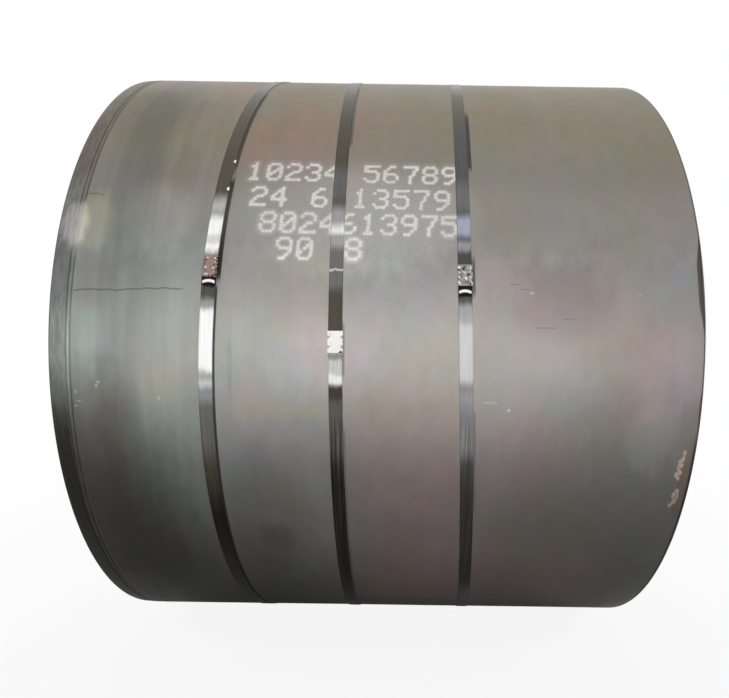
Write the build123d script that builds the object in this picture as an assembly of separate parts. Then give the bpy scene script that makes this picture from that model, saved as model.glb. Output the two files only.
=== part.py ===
from build123d import *
import os
from collections import namedtuple
from math import acos, atan, cos, degrees, hypot, radians, sin, tan

# A coil of hot-rolled steel strip, lying on its side and held round by three crimped steel straps.
# Millimetres. X runs along the bore, Y points to the back and Z up. The origin is the middle of
# the bore. A place round the coil is an angle about X, from the front (-Y), positive upwards.

# The wound coil
COIL_WIDTH = 1500.0
COIL_DIAMETER = 1840.0
BORE_DIAMETER = 762.0
STRIP_THICKNESS = 11.75
EDGE_CHAMFER = 3.0

# The strip wandered sideways while it was wound, so groups of turns stand out on the right end
# and back on the left one, by these multiples of one step, from the outer, flush turns inwards
FLUSH_TURNS = 6
TURNS_PER_GROUP = 4
WANDER_STEP = 2.0
WANDER_PATTERN = (1, 2, 1, 3, 0)

# The worked edge near the left end: the outer turn drops to its edge beyond a shallow crease
EDGE_DROP = 2.0
CREASE_FROM_END = 50.0
CREASE_WIDTH = 12.0
CREASE_DEPTH = 1.5

# The straps
STRAP_WIDTH = 32.0
STRAP_THICKNESS = 1.0
SEAT_CLEARANCE = 0.3
LAYER_CLEARANCE = 0.2
STUB_LENGTH = 45.0
LEFT_STATION = 360.0
MIDDLE_STATION = 655.0
RIGHT_STATION = 953.0
LEFT_TAIL = 17.0
MIDDLE_TAIL = 73.0
RIGHT_TAIL = 20.0
LIP_LENGTH = 7.0

# The seals
SEAL_LENGTH = 50.0
SEAL_WALL = 1.0
SEAL_SIDE_PLAY = 0.6
SEAL_LAYER_PLAY = 0.15
SEAL_CORNER_CHAMFER = 0.6
SEAL_MOUTH_MARGIN = 2.0
FLANGE_GAP = 8.0
NOTCH_LENGTH = 8.0
NOTCH_ROOT = 3.0
NOTCH_DEPTH = 5.0
NOTCH_SPACING = 22.0

# How each strap lies. station: middle of the strap from the coil's left end, at the front.
# slant and lean: how far its plane is turned about Z and about Y, because it is laid by hand.
# seal: the angle of the seal's middle. tail and lip: the free end below the seal and its bend.
StrapLay = namedtuple("StrapLay", "name station slant lean seal tail lip")
STRAP_LAYS = (
    StrapLay("left", LEFT_STATION, 4.6, 0.84, 11.2, LEFT_TAIL, 24.0),
    StrapLay("middle", MIDDLE_STATION, 0.8, -0.55, 0.6, MIDDLE_TAIL, 0.0),
    StrapLay("right", RIGHT_STATION, 3.87, -1.72, 10.4, RIGHT_TAIL, 30.0),
)

COIL_RADIUS = COIL_DIAMETER / 2
BORE_RADIUS = BORE_DIAMETER / 2
LEFT_END = -COIL_WIDTH / 2
RIGHT_END = COIL_WIDTH / 2

SEAT_RADIUS = COIL_RADIUS + SEAT_CLEARANCE
LAYER_STEP = STRAP_THICKNESS + LAYER_CLEARANCE
SLOT_HEIGHT = STRAP_THICKNESS + LAYER_STEP + 2 * SEAL_LAYER_PLAY
SLOT_WIDTH = STRAP_WIDTH + 2 * SEAL_SIDE_PLAY
SEAL_HEIGHT = SLOT_HEIGHT + 2 * SEAL_WALL
SEAL_WIDTH = SLOT_WIDTH + 2 * SEAL_WALL
UNDER_FACE = SEAT_RADIUS + SEAL_WALL + SEAL_LAYER_PLAY
OVER_FACE = UNDER_FACE + LAYER_STEP
STRAIGHT_HALF = SEAL_LENGTH / 2 + SEAL_MOUTH_MARGIN


def end_face_points():
    """Shift and radius along one end, from the bore out, up to the foot of the flush turns."""
    pitch = TURNS_PER_GROUP * STRIP_THICKNESS
    groups = int((COIL_RADIUS - BORE_RADIUS - FLUSH_TURNS * STRIP_THICKNESS) / pitch)
    points = []
    for group in range(groups):
        from_outside = groups - group
        shift = WANDER_STEP * WANDER_PATTERN[from_outside % len(WANDER_PATTERN)]
        points.append((shift, BORE_RADIUS + group * pitch))
        points.append((shift, BORE_RADIUS + (group + 1) * pitch))
    points.append((0.0, BORE_RADIUS + groups * pitch))
    return points


def coil_profile():
    """Half section of the coil above its axis, as X and radius."""
    ends = end_face_points()
    crease = LEFT_END + CREASE_FROM_END
    left_edge_radius = COIL_RADIUS - EDGE_DROP
    points = [(LEFT_END + shift, radius) for shift, radius in ends]
    points += [
        (LEFT_END, left_edge_radius - EDGE_CHAMFER),
        (LEFT_END + EDGE_CHAMFER, left_edge_radius),
        (crease - CREASE_WIDTH / 2, COIL_RADIUS),
        (crease, COIL_RADIUS - CREASE_DEPTH),
        (crease + CREASE_WIDTH / 2, COIL_RADIUS),
        (RIGHT_END - EDGE_CHAMFER, COIL_RADIUS),
        (RIGHT_END, COIL_RADIUS - EDGE_CHAMFER),
    ]
    points += [(RIGHT_END + shift, radius) for shift, radius in reversed(ends)]
    return points


def coil():
    """The wound strip as one turned solid, with its bore and its turns in rings on both ends."""
    outline = Polyline(*coil_profile(), close=True)
    section = Plane.XZ * make_face(outline)
    return revolve(section, Axis.X)


def polar(radius, angle):
    """A point of the strap's side view, with the seal's middle on the first axis."""
    return (radius * cos(angle), radius * sin(angle))


def wrap_angle(face):
    """Angle from the seal's middle to where a taut layer, straight from the seal, meets the coil."""
    reach = hypot(face, STRAIGHT_HALF)
    return atan(STRAIGHT_HALF / face) + acos(SEAT_RADIUS / reach)


def tail_points(lay):
    """The free end below the seal: inner and outer points from the seal's mouth to the cut."""
    top = SEAT_RADIUS + LAYER_STEP
    fall = acos(top / hypot(OVER_FACE, STRAIGHT_HALF)) + atan(STRAIGHT_HALF / OVER_FACE)
    lip_turn = fall - radians(lay.lip)
    inner = [(OVER_FACE, -STRAIGHT_HALF)]
    outer = [(OVER_FACE + STRAP_THICKNESS, -STRAIGHT_HALF)]
    for length, turn in ((lay.tail - LIP_LENGTH, fall), (LIP_LENGTH, lip_turn)):
        u, v = inner[-1]
        inner.append((u - length * sin(turn), v - length * cos(turn)))
        u, v = inner[-1]
        outer.append((u + STRAP_THICKNESS * cos(turn), v - STRAP_THICKNESS * sin(turn)))
    return inner, outer


def strap_outline(lay):
    """Side view of one strap. The lower layer ends in a stub above the seal, goes down through
    it and once round the coil, climbs over the stub, and comes down through the seal to its tail."""
    stub_angle = (STRAIGHT_HALF + STUB_LENGTH) / COIL_RADIUS
    leave = wrap_angle(UNDER_FACE)
    arrive = stub_angle + acos(SEAT_RADIUS / (SEAT_RADIUS + LAYER_STEP))
    sweep = -(360.0 - degrees(arrive + leave))
    outer_radius = SEAT_RADIUS + STRAP_THICKNESS
    tail_inner, tail_outer = tail_points(lay)

    inner_arc = CenterArc((0, 0), SEAT_RADIUS, -degrees(leave), sweep)
    outer_arc = CenterArc((0, 0), outer_radius, -degrees(leave), sweep)
    lower_inside = Polyline(
        polar(SEAT_RADIUS, stub_angle),
        (UNDER_FACE, STRAIGHT_HALF),
        (UNDER_FACE, -STRAIGHT_HALF),
        inner_arc @ 0,
    )
    upper = Polyline(
        inner_arc @ 1,
        polar(SEAT_RADIUS + LAYER_STEP, stub_angle),
        (OVER_FACE, STRAIGHT_HALF),
        *tail_inner,
        *reversed(tail_outer),
        (OVER_FACE + STRAP_THICKNESS, STRAIGHT_HALF),
        polar(outer_radius + LAYER_STEP, stub_angle),
        outer_arc @ 1,
    )
    lower_outside = Polyline(
        outer_arc @ 0,
        (UNDER_FACE + STRAP_THICKNESS, -STRAIGHT_HALF),
        (UNDER_FACE + STRAP_THICKNESS, STRAIGHT_HALF),
        polar(outer_radius, stub_angle),
        polar(SEAT_RADIUS, stub_angle),
    )
    return Wire([*inner_arc.edges(), *outer_arc.edges(), *lower_inside.edges(),
                 *upper.edges(), *lower_outside.edges()])


def strap_slopes(lay):
    """How far a strap moves along X for each millimetre of Y and of Z."""
    return tan(radians(lay.slant)), tan(radians(lay.lean))


def axis_station(lay):
    """X where the strap's plane crosses the coil's axis."""
    along_y, along_z = strap_slopes(lay)
    return LEFT_END + lay.station + along_y * COIL_RADIUS


def seal_frame(lay):
    """Plane on the coil's surface under the seal: X across the strap, Y up along it, Z outwards."""
    angle = radians(lay.seal)
    along_y, along_z = strap_slopes(lay)
    y, z = -COIL_RADIUS * cos(angle), COIL_RADIUS * sin(angle)
    turn = atan(along_z * cos(angle) + along_y * sin(angle))
    across = (cos(turn), -sin(turn) * sin(angle), -sin(turn) * cos(angle))
    origin = (axis_station(lay) + along_y * y + along_z * z, y, z)
    return Plane(origin=origin, x_dir=across, z_dir=(0, -cos(angle), sin(angle)))


def notches(lay):
    """Four tapered cutters where the crimper bites through the seal's sides and both layers."""
    edge = SEAL_WIDTH / 2
    root = edge - NOTCH_DEPTH
    cutters = []
    for side in (-1, 1):
        for middle in (-NOTCH_SPACING / 2, NOTCH_SPACING / 2):
            bite = Polyline(
                (side * edge, middle - NOTCH_LENGTH / 2),
                (side * root, middle - NOTCH_ROOT / 2),
                (side * root, middle + NOTCH_ROOT / 2),
                (side * edge, middle + NOTCH_LENGTH / 2),
                close=True,
            )
            cutters.append(extrude(make_face(bite), 2 * SEAL_HEIGHT, dir=(0, 0, 1)))
    return [seal_frame(lay) * cutter for cutter in cutters]


def strap(lay):
    """One strap: its side view run across the coil, cut to width on its own slightly turned plane."""
    along_y, along_z = strap_slopes(lay)
    angle = radians(lay.seal)
    side = Plane(origin=(0, 0, 0), x_dir=(0, -cos(angle), sin(angle)), z_dir=(-1, 0, 0))
    reach = STRAP_WIDTH + COIL_DIAMETER * (abs(along_y) + abs(along_z))
    ribbon = extrude(side * make_face(strap_outline(lay)), reach, both=True)
    ribbon = Pos(axis_station(lay), 0, 0) * ribbon
    cut_plane = Plane(origin=(axis_station(lay), 0, 0), x_dir=(0, 0, 1), z_dir=(1, -along_y, -along_z))
    slab = cut_plane * Box(2 * COIL_DIAMETER, 2 * COIL_DIAMETER, STRAP_WIDTH)
    return (ribbon & slab) - notches(lay)


def seal(lay):
    """One seal: a sleeve folded round both layers, open between its flanges, with crimped sides."""
    base = Pos(0, 0, SEAT_CLEARANCE)
    outer = base * Box(SEAL_WIDTH, SEAL_LENGTH, SEAL_HEIGHT, align=(Align.CENTER, Align.CENTER, Align.MIN))
    outer = chamfer(outer.edges().filter_by(Axis.Y).group_by(Axis.Z)[-1], SEAL_CORNER_CHAMFER)
    slot = Box(SLOT_WIDTH, 2 * SEAL_LENGTH, SLOT_HEIGHT, align=(Align.CENTER, Align.CENTER, Align.MIN))
    mouth = Box(FLANGE_GAP, 2 * SEAL_LENGTH, 2 * SEAL_WALL)
    sleeve = outer - base * Pos(0, 0, SEAL_WALL) * slot - base * mouth
    return (seal_frame(lay) * sleeve) - notches(lay)


def main():
    os.makedirs("parts", exist_ok=True)
    export_step(coil(), "parts/coil.step")
    for lay in STRAP_LAYS:
        export_step(strap(lay), f"parts/strap_{lay.name}.step")
        export_step(seal(lay), f"parts/seal_{lay.name}.step")


main()
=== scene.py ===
import math
from collections import namedtuple

import bmesh
import bpy
import numpy as np
from mathutils import Matrix, Vector


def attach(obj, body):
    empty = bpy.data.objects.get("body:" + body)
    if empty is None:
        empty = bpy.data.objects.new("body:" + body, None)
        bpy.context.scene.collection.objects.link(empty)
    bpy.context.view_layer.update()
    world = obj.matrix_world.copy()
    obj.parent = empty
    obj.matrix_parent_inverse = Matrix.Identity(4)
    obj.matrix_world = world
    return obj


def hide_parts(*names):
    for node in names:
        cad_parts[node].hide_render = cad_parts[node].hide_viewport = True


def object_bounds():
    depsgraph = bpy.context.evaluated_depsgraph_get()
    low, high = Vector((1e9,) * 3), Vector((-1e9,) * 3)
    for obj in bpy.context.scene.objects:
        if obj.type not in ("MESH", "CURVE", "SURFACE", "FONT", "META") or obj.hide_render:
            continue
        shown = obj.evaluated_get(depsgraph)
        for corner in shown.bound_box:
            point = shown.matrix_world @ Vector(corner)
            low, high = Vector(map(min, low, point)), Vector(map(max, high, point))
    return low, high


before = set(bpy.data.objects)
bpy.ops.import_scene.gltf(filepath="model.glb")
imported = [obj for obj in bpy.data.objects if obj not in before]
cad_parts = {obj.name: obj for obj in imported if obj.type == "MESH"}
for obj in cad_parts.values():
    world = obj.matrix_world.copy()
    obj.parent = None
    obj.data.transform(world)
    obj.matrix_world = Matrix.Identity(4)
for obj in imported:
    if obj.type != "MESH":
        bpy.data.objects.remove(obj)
cad_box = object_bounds()

# A coil of hot-rolled strip on its side, held by three crimped steel straps. Metres.
# X runs along the bore, Y to the back and Z up, as in the frame. A place round the coil is an
# angle about X, from the front (-Y), positive upwards.

RADIUS = 0.92
BORE_RADIUS = 0.381
HALF_WIDTH = 0.75
EDGE_CHAMFER = 0.003
SEGMENTS = 192
TAIL_ANGLE = math.radians(-142)

STRAP_HALF_WIDTH = 0.016
STRAP_THICKNESS = 0.001
SEAT_RADIUS = 0.9203
LAYER_STEP = 0.0012
SEAL_LENGTH = 0.05
SEAL_HALF_WIDTH = 0.0176
SEAL_WALL = 0.001
SEAL_BASE = 0.0003
SEAL_TOP = 0.0048
# The inner faces of a strap's two straight layers in its seal, from the coil's axis
UNDER_FACE = 0.92145
OVER_FACE = 0.92265
STRAIGHT_HALF = 0.027
STUB_LENGTH = 0.045
LIP_LENGTH = 0.007
NOTCH_CENTRE = 0.011
NOTCH_MOUTH = 0.004
NOTCH_ROOT = 0.0015
NOTCH_DEPTH = 0.005

# Each strap: how far from the left end it crosses the front, its slant and lean in degrees, the
# angle of its seal, the length of its tail, and by how many degrees the tail's end curls up
StrapLay = namedtuple("StrapLay", "name station slant lean seal tail lip")
STRAP_LAYS = (
    StrapLay("left", 0.36, 4.6, 0.84, 11.2, 0.017, 24.0),
    StrapLay("middle", 0.655, 0.8, -0.55, 0.6, 0.073, 0.0),
    StrapLay("right", 0.953, 3.87, -1.72, 10.4, 0.02, 30.0),
)

rng = np.random.default_rng(11)


# Meshes

def make_object(name, verts, faces, material):
    """A new mesh object that rides on the root, with its material."""
    mesh = bpy.data.meshes.new(name)
    mesh.from_pydata([tuple(v) for v in verts], [], [tuple(int(i) for i in f) for f in faces])
    mesh.update()
    mesh.materials.append(material)
    obj = bpy.data.objects.new(name, mesh)
    bpy.context.scene.collection.objects.link(obj)
    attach(obj, "root")
    return obj


def shade_mesh(obj, sharp_angle):
    """Smooth shading, apart from edges sharper than the angle in degrees."""
    obj.data.shade_smooth()
    obj.data.set_sharp_from_angle(angle=math.radians(sharp_angle))


def clean_mesh(obj, sharp_angle):
    """Merges vertices that fell together, drops empty faces, turns the rest outwards, shades."""
    mesh = bmesh.new()
    mesh.from_mesh(obj.data)
    bmesh.ops.remove_doubles(mesh, verts=mesh.verts, dist=1e-5)
    bmesh.ops.dissolve_degenerate(mesh, edges=mesh.edges, dist=1e-6)
    bmesh.ops.recalc_face_normals(mesh, faces=mesh.faces)
    mesh.to_mesh(obj.data)
    mesh.free()
    shade_mesh(obj, sharp_angle)


def loft_faces(sections, count):
    """Faces of a tube of sections with count vertices each, closed at both ends."""
    faces = []
    for a in range(0, (sections - 1) * count, count):
        b = a + count
        for m in range(count):
            n = (m + 1) % count
            faces.append((a + m, a + n, b + n, b + m))
    last = (sections - 1) * count
    return faces + [tuple(range(count)), tuple(range(last, last + count))[::-1]]


def add_attribute(obj, name, values):
    """A number for each vertex, for the material to read."""
    layer = obj.data.attributes.new(name, "FLOAT", "POINT")
    layer.data.foreach_set("value", np.asarray(values, dtype=np.float32))


def smooth_step(low, high, value):
    """0 below low and 1 above high, with a soft change between them."""
    t = np.clip((np.asarray(value, dtype=float) - low) / (high - low), 0.0, 1.0)
    return t * t * (3.0 - 2.0 * t)


def round_point(x, radius, angle):
    """Points on the coil's frame from X, radius and angle."""
    x, radius, angle = np.broadcast_arrays(x, radius, angle)
    return np.stack([x, -radius * np.cos(angle), radius * np.sin(angle)], axis=-1)


def line_gap(x, y, start, end):
    """Distance from a place to a line between two points, and where along it, from 0 to 1."""
    ux, uy = end[0] - start[0], end[1] - start[1]
    px, py = x - start[0], y - start[1]
    share = np.clip((px * ux + py * uy) / (ux * ux + uy * uy), 0.0, 1.0)
    return np.hypot(px - share * ux, py - share * uy), share


# The coil

TURNS_PER_GROUP = 4
GROUPS = 9
WANDER_STEP = 0.002
WANDER_PATTERN = (1, 2, 1, 3, 0)
JITTER = 0.0007
# Turns shifted further than this jitter back, so that none leaves the solid's box
FAR_SHIFT = 0.0045
STRIP_THICKNESS = 0.01175
GROOVE_HALF = 0.0011
GROOVE_DEPTH = 0.0026
# Steps over which the seam's groove deepens at its start and runs out at its end
GROOVE_FADE = 0.35 * SEGMENTS
BORE_EASE = 0.0012
# The left edge is rounded over further than the right
LEFT_EDGE_EASE = 0.002


def group_shift(turn):
    """Sideways shift of the strip at a count of turns from the bore, as the solid has it."""
    group = int((turn + 0.5) // TURNS_PER_GROUP)
    if group >= GROUPS:
        return 0.0
    return WANDER_STEP * WANDER_PATTERN[(GROUPS - group) % len(WANDER_PATTERN)]


def wander(turn):
    """Shift of the strip at a count of turns, changing softly between the groups, with jitter."""
    step = 0.2
    shift = 0.25 * sum(group_shift(turn + k * step) for k in (-1.5, -0.5, 0.5, 1.5))
    jitter = JITTER * (0.5 + 0.3 * math.sin(5.1 * turn + 1.0)
                       + 0.2 * math.sin(12.7 * turn + 2.3 * math.sin(turn)))
    return shift - jitter if shift > FAR_SHIFT else shift + jitter


def coil_end(side, rings, total, shift_at):
    """One end face: the strip's turns spiral from the bore to the outside, with seams between."""
    pitch = (RADIUS - BORE_RADIUS) * SEGMENTS / total
    inner_limit = BORE_RADIUS + BORE_EASE
    outer_limit = RADIUS - EDGE_CHAMFER - (LEFT_EDGE_EASE if side < 0 else 0.0)
    verts, groove = [], []
    for i in range(total + 1):
        angle = TAIL_ANGLE + 2 * math.pi * (i - total) / SEGMENTS
        inner = BORE_RADIUS + pitch * i / SEGMENTS
        outer = inner + pitch
        face_x = side * HALF_WIDTH + shift_at[i]
        below = side * HALF_WIDTH + shift_at[max(i - SEGMENTS, 0)]
        wedge = min(1.0, i / GROOVE_FADE, (total - i) / GROOVE_FADE)
        deeper = max(face_x, below) if side < 0 else min(face_x, below)
        for x, r, g in (
            (deeper - side * GROOVE_DEPTH * wedge, inner, wedge),
            (face_x, inner + GROOVE_HALF, 0.0),
            (face_x, outer - GROOVE_HALF, 0.0),
        ):
            verts.append(round_point(x, min(max(r, inner_limit), outer_limit), angle))
            groove.append(g)

    def on_ring(start, i):
        """A vertex of a ring that the end joins, marked as counted from the first vertex."""
        return "ring", start + (i - total) % SEGMENTS

    outside, bore = rings
    faces = []
    for i in range(total):
        j = i + 1
        seam, start, stop = 3 * i, 3 * i + 1, 3 * i + 2
        faces.append((seam, seam + 3, start + 3, start))
        faces.append((start, start + 3, stop + 3, stop))
        if j + SEGMENTS <= total:
            faces.append((stop, stop + 3, 3 * (j + SEGMENTS), 3 * (i + SEGMENTS)))
        else:
            faces.append((stop, stop + 3, on_ring(outside, j), on_ring(outside, i)))
        if i < SEGMENTS:
            faces.append((on_ring(bore, i), on_ring(bore, j), seam + 3, seam))
    return verts, groove, faces


def outer_profile():
    """X and radius along the outside, from the left end to the right: edge, crease and field."""
    left = [(-0.75, 0.915), (-0.7496, 0.9164), (-0.7484, 0.9175), (-0.7465, 0.918),
            (-0.735, 0.9186), (-0.72, 0.9195), (-0.7142, 0.9199), (-0.7122, 0.9196),
            (-0.7108, 0.9188), (-0.7093, 0.9185), (-0.7078, 0.919), (-0.7055, 0.9194),
            (-0.703, 0.9192), (-0.7012, 0.9187), (-0.6998, 0.9185), (-0.6984, 0.919),
            (-0.6965, 0.9197), (-0.693, 0.92)]
    field = [(x, RADIUS) for x in np.linspace(-0.66, 0.7, 18)]
    field += [(x, RADIUS) for x in (0.715, 0.722, 0.728, 0.7335, 0.739)]
    right = [(0.743, 0.9199), (0.7465, 0.9196), (0.7488, 0.9186), (0.75, 0.917)]
    return left + field + right


def edge_curl(x, angle):
    """How far the right edge of the outer turn is bent in towards the bore, at two knocks."""
    degrees = np.degrees(angle)
    upper = smooth_step(1.0, 8.5, degrees) * (1 - smooth_step(11.5, 18.6, degrees))
    lower = smooth_step(-14.5, -10.0, degrees) * (1 - smooth_step(-8.0, -4.6, degrees))
    inset = 0.004 + 0.017 * upper + 0.007 * lower
    bend = np.clip((x - (HALF_WIDTH - inset)) / inset, 0.0, 1.0)
    return bend ** 1.3 * (0.0065 * upper + 0.003 * lower)


def outside_relief(x, angle):
    """How far the outside lies below its profile: slow waves, and the knocks of the right edge."""
    wave = (0.00012 * (1 + math.sin(3 * angle + 9 * x))
            + 0.00008 * (1 + math.sin(5 * angle - 14 * x)))
    share = 1.0 if abs(x) < 0.69 else 0.3
    return share * wave + edge_curl(x, (angle + math.pi) % (2 * math.pi) - math.pi)


def bore_profile():
    """X and radius along the bore, from the left end to the right."""
    left, right = wander(0.0) - HALF_WIDTH, wander(0.0) + HALF_WIDTH
    return [(left + 0.0001, BORE_RADIUS + BORE_EASE), (left + 0.0014, BORE_RADIUS),
            *((x, BORE_RADIUS) for x in np.linspace(-0.7, 0.7, 8)),
            (right - 0.0014, BORE_RADIUS), (right - 0.0001, BORE_RADIUS + BORE_EASE)]


def coil_mesh():
    """All of the coil's vertices and faces, with the numbers that its material reads."""
    total = int(round((RADIUS - BORE_RADIUS) / STRIP_THICKNESS * SEGMENTS))
    angles = TAIL_ANGLE + 2 * math.pi * np.arange(SEGMENTS) / SEGMENTS
    verts, groove, end, faces = [], [], [], []

    def add_rings(profile, relief):
        """Rings of vertices along a profile; returns the first index of each ring."""
        starts = []
        for x, r in profile:
            starts.append(len(verts))
            for angle in angles:
                verts.append(round_point(x, r - relief(x, angle), angle))
                groove.append(0.0)
                end.append(0.0)
        for a, b in zip(starts, starts[1:]):
            for k in range(SEGMENTS):
                n = (k + 1) % SEGMENTS
                faces.append((a + k, a + n, b + n, b + k))
        return starts

    outside = add_rings(outer_profile(), outside_relief)
    first = len(faces)
    inside = add_rings(bore_profile(), lambda x, angle: 0.0)
    for k in range(first, len(faces)):
        faces[k] = tuple(reversed(faces[k]))

    shift_at = [wander(i / SEGMENTS) for i in range(total + 1)]
    for side, rings in ((-1, (outside[0], inside[0])), (1, (outside[-1], inside[-1]))):
        end_verts, end_groove, end_faces = coil_end(side, rings, total, shift_at)
        base = len(verts)
        verts.extend(end_verts)
        groove.extend(end_groove)
        end.extend([1.0] * len(end_verts))
        for face in end_faces:
            face = tuple(i[1] if isinstance(i, tuple) else i + base for i in face)
            faces.append(face if side < 0 else tuple(reversed(face)))
    return verts, faces, groove, end


def build_coil(material):
    """The coil's own mesh, which stands for the solid."""
    verts, faces, groove, end = coil_mesh()
    obj = make_object("coil_wound", verts, faces, material)
    add_attribute(obj, "groove", groove)
    add_attribute(obj, "end", end)
    clean_mesh(obj, 50)
    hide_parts("coil")


# The sprayed numbers, as a skin of paint on the outer turn

DIGITS = {
    "0": "01110 10001 10011 10101 11001 10001 01110",
    "1": "00100 01100 00100 00100 00100 00100 01110",
    "2": "01110 10001 00001 00110 01000 10000 11111",
    "3": "01110 10001 00001 00110 00001 10001 01110",
    "4": "00010 00110 01010 10010 11111 00010 00010",
    "5": "11111 10000 11110 00001 00001 10001 01110",
    "6": "00110 01000 10000 11110 10001 10001 01110",
    "7": "11111 00001 00010 00010 00100 00100 00100",
    "8": "01110 10001 10001 01110 10001 10001 01110",
    "9": "01110 10001 10001 01111 00001 00010 01100",
}
# Each row: X of its first digit, angle of its middle, pitch, overspray, and the digits with gaps
MARK_ROWS = (
    (-0.322, 27.45, 0.0473, 0.16, "10234 56789"),
    (-0.305, 22.75, 0.0485, 0.2, "24 6-13579"),
    (-0.2775, 18.35, 0.0473, 0.34, "8024613975"),
    (-0.236, 14.2, 0.0485, 0.22, "90"),
    (-0.075, 14.2, 0.0485, 0.5, "8"),
)
DIGIT_WIDTH = 0.031
DIGIT_HEIGHT = 0.049
MARK_SLOPE = 0.012
# The skin that carries the paint: its reach in X and in angle, its grid and its height
SKIN_X = (-0.352, 0.262)
SKIN_ANGLES = (10.6, 31.6)
SKIN_GRID = 0.0021
SKIN_LIFT = 0.00015
# Dots closer together than this are joined by a stroke
STROKE_REACH = 0.0122
STROKE_STRENGTH = 0.8
# Where paint begins and ends to fade, from a stroke, from a dot, and as a dot's overspray
STROKE_FADE = (0.0022, 0.0072)
DOT_FADE = (0.0026, 0.0068)
OVERSPRAY_FADE = (0.002, 0.021)


def mark_dots():
    """The sprayed dots: X, length round the coil, strength and overspray."""
    dots = []
    for start, middle, pitch, overspray, text in MARK_ROWS:
        for place, char in enumerate(text):
            x0 = start + place * pitch
            arc0 = math.radians(middle) * RADIUS - MARK_SLOPE * (x0 - start)
            strength = 0.85 + 0.15 * rng.random()
            if char == "-":
                for k in range(1, 5):
                    dots.append((x0 + DIGIT_WIDTH * k / 5, arc0, strength, overspray))
                continue
            if char not in DIGITS:
                continue
            for row, bits in enumerate(DIGITS[char].split()):
                for col, bit in enumerate(bits):
                    if bit == "1":
                        dx, dy = rng.normal(0, 0.0004, 2)
                        lean = 0.05 * DIGIT_HEIGHT * (0.5 - row / 6)
                        x = x0 + DIGIT_WIDTH * col / 4 + dx + lean
                        arc = arc0 + DIGIT_HEIGHT * (0.5 - row / 6) + dy
                        dots.append((x, arc, strength * (0.84 + 0.16 * rng.random()), overspray))
    return np.array(dots)


def mark_strokes(dots):
    """Pairs of neighbouring dots of a digit, so that the strokes run on."""
    pairs = []
    for i in range(len(dots)):
        gap = np.hypot(dots[i + 1:, 0] - dots[i, 0], dots[i + 1:, 1] - dots[i, 1])
        pairs += [(i, i + 1 + int(k)) for k in np.nonzero(gap < STROKE_REACH)[0]]
    return pairs


def spray_paint(grid_x, grid_arc):
    """Strength of the sprayed paint over a grid."""
    dots = mark_dots()
    paint = np.zeros_like(grid_x)
    for i, j in mark_strokes(dots):
        start, end = dots[i, :2], dots[j, :2]
        low, high = np.minimum(start, end) - 0.01, np.maximum(start, end) + 0.01
        box = ((grid_x > low[0]) & (grid_x < high[0])
               & (grid_arc > low[1]) & (grid_arc < high[1]))
        gap, share = line_gap(grid_x[box], grid_arc[box], start, end)
        strength = dots[i, 2] + (dots[j, 2] - dots[i, 2]) * share
        stroke = strength * (STROKE_STRENGTH * (1 - smooth_step(*STROKE_FADE, gap)))
        paint[box] = np.maximum(paint[box], stroke)
    for x, arc, strength, overspray in dots:
        gap = np.hypot(grid_x - x, grid_arc - arc)
        paint = np.maximum(paint, strength * (1 - smooth_step(*DOT_FADE, gap)))
        paint = np.maximum(paint, overspray * (1 - smooth_step(*OVERSPRAY_FADE, gap)))
    return paint


def build_marking(material):
    """A thin skin over the outer turn that carries the sprayed digits in a vertex number."""
    low, high = (math.radians(angle) * RADIUS for angle in SKIN_ANGLES)
    grid_x, grid_arc = np.meshgrid(np.arange(*SKIN_X, SKIN_GRID), np.arange(low, high, SKIN_GRID))
    paint = spray_paint(grid_x, grid_arc)
    verts = round_point(grid_x.ravel(), RADIUS + SKIN_LIFT, grid_arc.ravel() / RADIUS)
    index = np.arange(grid_x.size).reshape(grid_x.shape)
    faces = np.stack([index[:-1, :-1], index[:-1, 1:], index[1:, 1:], index[1:, :-1]], axis=-1)
    obj = make_object("marking_sprayed", verts, faces.reshape(-1, 4), material)
    shade_mesh(obj, 40)
    add_attribute(obj, "spray", paint.ravel())


# The straps and their seals

# Spacing of a strap's sections in its seal, beside it and along its stub, and its steps round the
# coil, down the tail and over the lip
SEAL_SPACING = 0.0009
NEAR_SPACING = 0.008
STUB_SPACING = 0.012
RING_STEPS = 300
TAIL_STEPS = 4
LIP_STEPS = 5
# So that the lip's last step reaches about its whole curl
LIP_TURN = 1.15
# The strap is nipped deeper than its seal
STRAP_NIP = 1.24
# Across as a share of the half width, and up as a share of the thickness
STRAP_SECTION = (
    (-1, 0.25), (-1, 0.72), (-0.985, 0.93), (-0.5, 0.985), (0, 1.0), (0.5, 0.985),
    (0.985, 0.93), (1, 0.72), (1, 0.25), (0.985, 0.0), (0, 0.0), (-0.985, 0.0),
)


def strap_slopes(lay):
    """How far a strap moves along X for each metre of Y and of Z."""
    return math.tan(math.radians(lay.slant)), math.tan(math.radians(lay.lean))


def axis_station(lay):
    """X where the strap's plane crosses the coil's axis."""
    return -HALF_WIDTH + lay.station + strap_slopes(lay)[0] * RADIUS


def polar(radius, angle):
    """A point of a strap's side view, in which the seal's middle is at angle 0."""
    return radius * math.cos(angle), radius * math.sin(angle)


def line_points(start, end, spacing):
    """Points from start to just before end."""
    count = max(1, int(math.dist(start, end) / spacing))
    start, end = np.array(start), np.array(end)
    return [tuple(start + (end - start) * k / count) for k in range(count)]


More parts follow.
